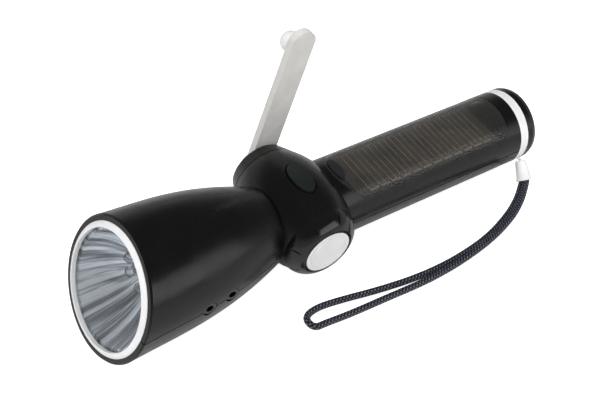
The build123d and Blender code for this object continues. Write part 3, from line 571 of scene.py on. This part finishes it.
def placeLamps(settings):
    domes, cups = [], []
    dome, cup = makeDome(settings), makeCup(settings)
    for number in range(settings["count"]):
        angle = math.radians(settings["startAngle"] + number * 360 / settings["count"])
        place = Vector((
            settings["ring"] * math.cos(angle),
            settings["base"],
            settings["centreHeight"] + settings["ring"] * math.sin(angle),
        ))
        matrix = Matrix.Translation(place) @ Matrix.Rotation(math.radians(90), 4, "X")
        domes.append(copyPiece(dome, matrix))
        cups.append(copyPiece(cup, matrix))
    bpy.data.objects.remove(dome)
    bpy.data.objects.remove(cup)
    for pieces, name, slotName in ((domes, "lampDomes", "clear_lamp"), (cups, "lampCups", "steel")):
        joined = joinPieces(pieces, name)
        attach(joined, "torch")
        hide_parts("lamps")


placeLamps(ledSettings)
print("lamps made")


# wrist cord: route points in millimetres, close to the model's and moved to follow the photograph
cordSettings = {
    "radius": 0.00165,
    "length": 0.3032,
    "route": [
        (28.64, -9.6, -12.86),
        (32.6, -14.0, -13.7),
        (38.1, -21.7, -14.8),
        (43.3, -32.0, -16.0),
        (48.6, -50.1, -17.5),
        (51.55, -74.1, -19.0),
        (51.55, -94.2, -20.6),
        (49.4, -114.2, -22.6),
        (47.9, -133.7, -24.1),
        (46.3, -146.0, -24.8),
        (45.9, -152.3, -25.2),
        (38.9, -152.9, -25.2),
        (37.0, -145.5, -24.8),
        (39.2, -133.0, -24.0),
        (43.7, -114.4, -22.9),
        (47.3, -92.8, -21.8),
        (48.0, -71.5, -20.6),
        (45.6, -48.8, -19.2),
        (39.7, -30.9, -18.2),
        (34.9, -21.0, -17.4),
        (30.2, -14.0, -16.5),
        (26.56, -9.6, -15.54),
    ],
}
stringSettings = {
    "radius": 0.0008,
    "route": [
        (15.2, -9.2, -6.2),
        (18.4, -7.1, -7.1),
        (19.5, -7.4, -7.9),
    ],
}


def makeLine(name, settings, material):
    line = bpy.data.curves.new(name, "CURVE")
    line.dimensions = "3D"
    line.resolution_u = 16
    line.render_resolution_u = 16
    line.bevel_depth = settings["radius"]
    line.bevel_resolution = 5
    line.use_fill_caps = True
    spline = line.splines.new("NURBS")
    points = [mm(*p) for p in settings["route"]]
    spline.points.add(len(points) - 1)
    for point, place in zip(spline.points, points):
        point.co = (place.x, place.y, place.z, 1)
    spline.order_u = 3
    spline.use_endpoint_u = True
    spline.use_smooth = True
    piece = bpy.data.objects.new(name, line)
    bpy.context.collection.objects.link(piece)
    piece.data.materials.append(material)
    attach(piece, "torch")
    return piece


# braided polyester: navy-black yarns with pale blue-grey ones that show as short slanting bars
braidedPolyester, tree, shader = startMaterial("braidedPolyester", "#0b0d13", Roughness=0.62)
braidSettings = {
    "pitch": 0.00175,  # metres along the cord between two yarns of one direction
    "yarns": 4,  # yarns of one direction around the cord
    "paleShare": 0.36,  # of the pitch that a pale yarn covers
    "paleReach": 0.62,  # share of the crossing yarn's pitch before the pale one dives under it
    "depth": 0.00012,
    "fibres": {"Scale": 2500.0, "Detail": 2.0},
    "darkTones": [(0.35, "#06070b"), (0.65, "#151822")],
    "paleTones": [(0.35, "#484b57"), (0.65, "#858896")],
    "wrap": 1000.0,  # keeps the crossing pattern above zero
    "lengthShares": [  # share of the curve's run, share of its length
        (0, 0), (0.05, 0.035), (0.1, 0.07), (0.15, 0.12), (0.2, 0.191),
        (0.3, 0.331), (0.4, 0.45), (0.45, 0.481), (0.5, 0.499), (0.55, 0.52),
        (0.6, 0.553), (0.7, 0.673), (0.8, 0.817), (0.85, 0.886), (0.9, 0.935),
        (0.95, 0.967), (1, 1),
    ],
}


def drawBraid(tree, shader, settings, length):
    place = addNode(tree, "ShaderNodeTexCoord").outputs["UV"]
    parts = addNode(tree, "ShaderNodeSeparateXYZ", wires={"Vector": place})
    even = addNode(tree, "ShaderNodeFloatCurve", wires={"Value": parts.outputs["X"]})
    evenCurve = even.mapping.curves[0]
    for run, share in settings["lengthShares"][1:-1]:
        evenCurve.points.new(run, share)
    even.mapping.update()
    along = mathNode(tree, "MULTIPLY", even.outputs["Value"], round(length / settings["pitch"]))
    around = mathNode(tree, "MULTIPLY", parts.outputs["Y"], settings["yarns"])
    left = mathNode(tree, "FRACT", mathNode(tree, "ADD", along, around))
    right = mathNode(tree, "FRACT", mathNode(tree, "ADD", mathNode(tree, "SUBTRACT", along, around),
                                                 settings["wrap"]))
    leftRise = mathNode(tree, "SINE", mathNode(tree, "MULTIPLY", left, math.pi))
    rightRise = mathNode(tree, "SINE", mathNode(tree, "MULTIPLY", right, math.pi))
    height = mathNode(tree, "MAXIMUM", leftRise, rightRise)
    pale = mathNode(tree, "MULTIPLY", mathNode(tree, "LESS_THAN", left, settings["paleShare"]),
                    mathNode(tree, "LESS_THAN", right, settings["paleReach"]))
    fibre = addNode(tree, "ShaderNodeTexNoise", settings["fibres"],
                    {"Vector": addNode(tree, "ShaderNodeTexCoord").outputs["Object"]})
    darkYarn = rampNode(tree, fibre.outputs["Fac"], settings["darkTones"])
    paleYarn = rampNode(tree, fibre.outputs["Fac"], settings["paleTones"])
    mixed = addNode(tree, "ShaderNodeMixRGB", wires={"Fac": pale, "Color1": darkYarn, "Color2": paleYarn})
    tree.links.new(mixed.outputs["Color"], shader.inputs["Base Color"])
    relief = {"Strength": 1.0, "Distance": settings["depth"]}
    bump = addNode(tree, "ShaderNodeBump", relief, {"Height": height})
    tree.links.new(bump.outputs["Normal"], shader.inputs["Normal"])


drawBraid(tree, shader, braidSettings, cordSettings["length"])

# twisted cotton: thin white string
twistedCotton, tree, shader = startMaterial("twistedCotton", "#e4e3e0", Roughness=0.8)
finishSurface(tree, shader, grain=0.0002, depth=0.00003, roughness=0.8, spread=0.05, patch=0.001)

bandString = makeLine("bandString", stringSettings, twistedCotton)
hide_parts("strap_string")
wristCord = makeLine("wristCord", cordSettings, braidedPolyester)
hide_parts("strap_cord")
print("wrist cord made")


# floor, world and lamps
floorSettings = {
    "slope": 0.059,  # the head's rim and the tail touch it
    "heightAtTail": -0.01812,
    "size": 6.0,
    "colour": "#f4f4f4",
    "glow": 0.85,  # seen by the camera and through clear parts, it lights nothing
}
plainWhite = (1, 1, 1, 1)


def directlySeen(tree):
    # 1 for what the camera sees, also through clear parts, and 0 for light on its way
    path = addNode(tree, "ShaderNodeLightPath")
    return mathNode(tree, "MAXIMUM", path.outputs["Is Camera Ray"], path.outputs["Is Transmission Ray"])


def makeFloor(settings):
    bpy.ops.mesh.primitive_plane_add(size=settings["size"])
    floor = bpy.context.object
    floor.name = "floor"
    tilt = math.atan(settings["slope"])
    floor.data.transform(Matrix.Rotation(tilt, 4, "X"))
    floor.data.transform(Matrix.Translation((0, 0, settings["heightAtTail"])))
    floor.select_set(False)
    material = bpy.data.materials.new("paleFloor")
    material.use_nodes = True
    tree = material.node_tree
    tree.nodes.clear()
    seen = directlySeen(tree)
    diffuse = addNode(tree, "ShaderNodeBsdfDiffuse", {"Color": toLinear(settings["colour"])})
    glow = addNode(tree, "ShaderNodeEmission", {"Color": plainWhite, "Strength": settings["glow"]})
    both = addNode(tree, "ShaderNodeAddShader", wires={0: diffuse.outputs[0], 1: glow.outputs[0]})
    mixed = addNode(tree, "ShaderNodeMixShader",
                    wires={0: seen, 1: diffuse.outputs[0], 2: both.outputs[0]})
    out = addNode(tree, "ShaderNodeOutputMaterial")
    tree.links.new(mixed.outputs[0], out.inputs["Surface"])
    floor.data.materials.append(material)


worldSettings = {
    "lowHeight": 0.05,  # sine of the elevation where the backdrop's glow ends
    "highHeight": 0.5,
    "glow": 0.6,  # strength near the horizon
    "ceiling": 0.16,  # strength overhead
}


def makeWorld(settings):
    world = bpy.data.worlds.new("studio")
    bpy.context.scene.world = world
    world.use_nodes = True
    tree = world.node_tree
    tree.nodes.clear()
    seen = directlySeen(tree)
    direction = addNode(tree, "ShaderNodeTexCoord").outputs["Generated"]
    parts = addNode(tree, "ShaderNodeSeparateXYZ", wires={"Vector": direction})
    fall = addNode(
        tree, "ShaderNodeMapRange",
        {"From Min": settings["lowHeight"], "From Max": settings["highHeight"],
         "To Min": settings["glow"], "To Max": settings["ceiling"]},
        {"Value": parts.outputs["Z"]}, interpolation_type="SMOOTHSTEP",
    )
    light = addNode(tree, "ShaderNodeBackground", {"Color": plainWhite}, {"Strength": fall.outputs["Result"]})
    white = addNode(tree, "ShaderNodeBackground", {"Color": plainWhite, "Strength": 1.0})
    mixed = addNode(tree, "ShaderNodeMixShader",
                    wires={0: seen, 1: light.outputs[0], 2: white.outputs[0]})
    out = addNode(tree, "ShaderNodeOutputWorld")
    tree.links.new(mixed.outputs[0], out.inputs["Surface"])


lampSettings = {
    # name: place, aim, width, height, watts, shows in glossy surfaces
    "topSoftbox": ((0.1, -0.1, 0.9), (0, -0.12, 0), 0.7, 0.7, 5.6, False),
    "sideSoftbox": ((0.8, 0.25, 0.38), (0, -0.12, 0), 0.8, 0.5, 2.4, True),
    "frontSoftbox": ((0.2, -1.0, 0.4), (0, -0.2, 0), 0.6, 0.5, 3.6, False),
}


def makeLamp(name, place, aim, width, height, watts, glossy):
    lamp = bpy.data.lights.new(name, "AREA")
    lamp.shape = "RECTANGLE"
    lamp.size = width
    lamp.size_y = height
    lamp.energy = watts
    holder = bpy.data.objects.new(name, lamp)
    bpy.context.collection.objects.link(holder)
    holder.location = place
    holder.rotation_euler = (Vector(aim) - Vector(place)).to_track_quat("-Z", "Y").to_euler()
    holder.visible_glossy = glossy


makeFloor(floorSettings)
makeWorld(worldSettings)
for name, values in lampSettings.items():
    makeLamp(name, *values)
print("floor, world and lamps made")
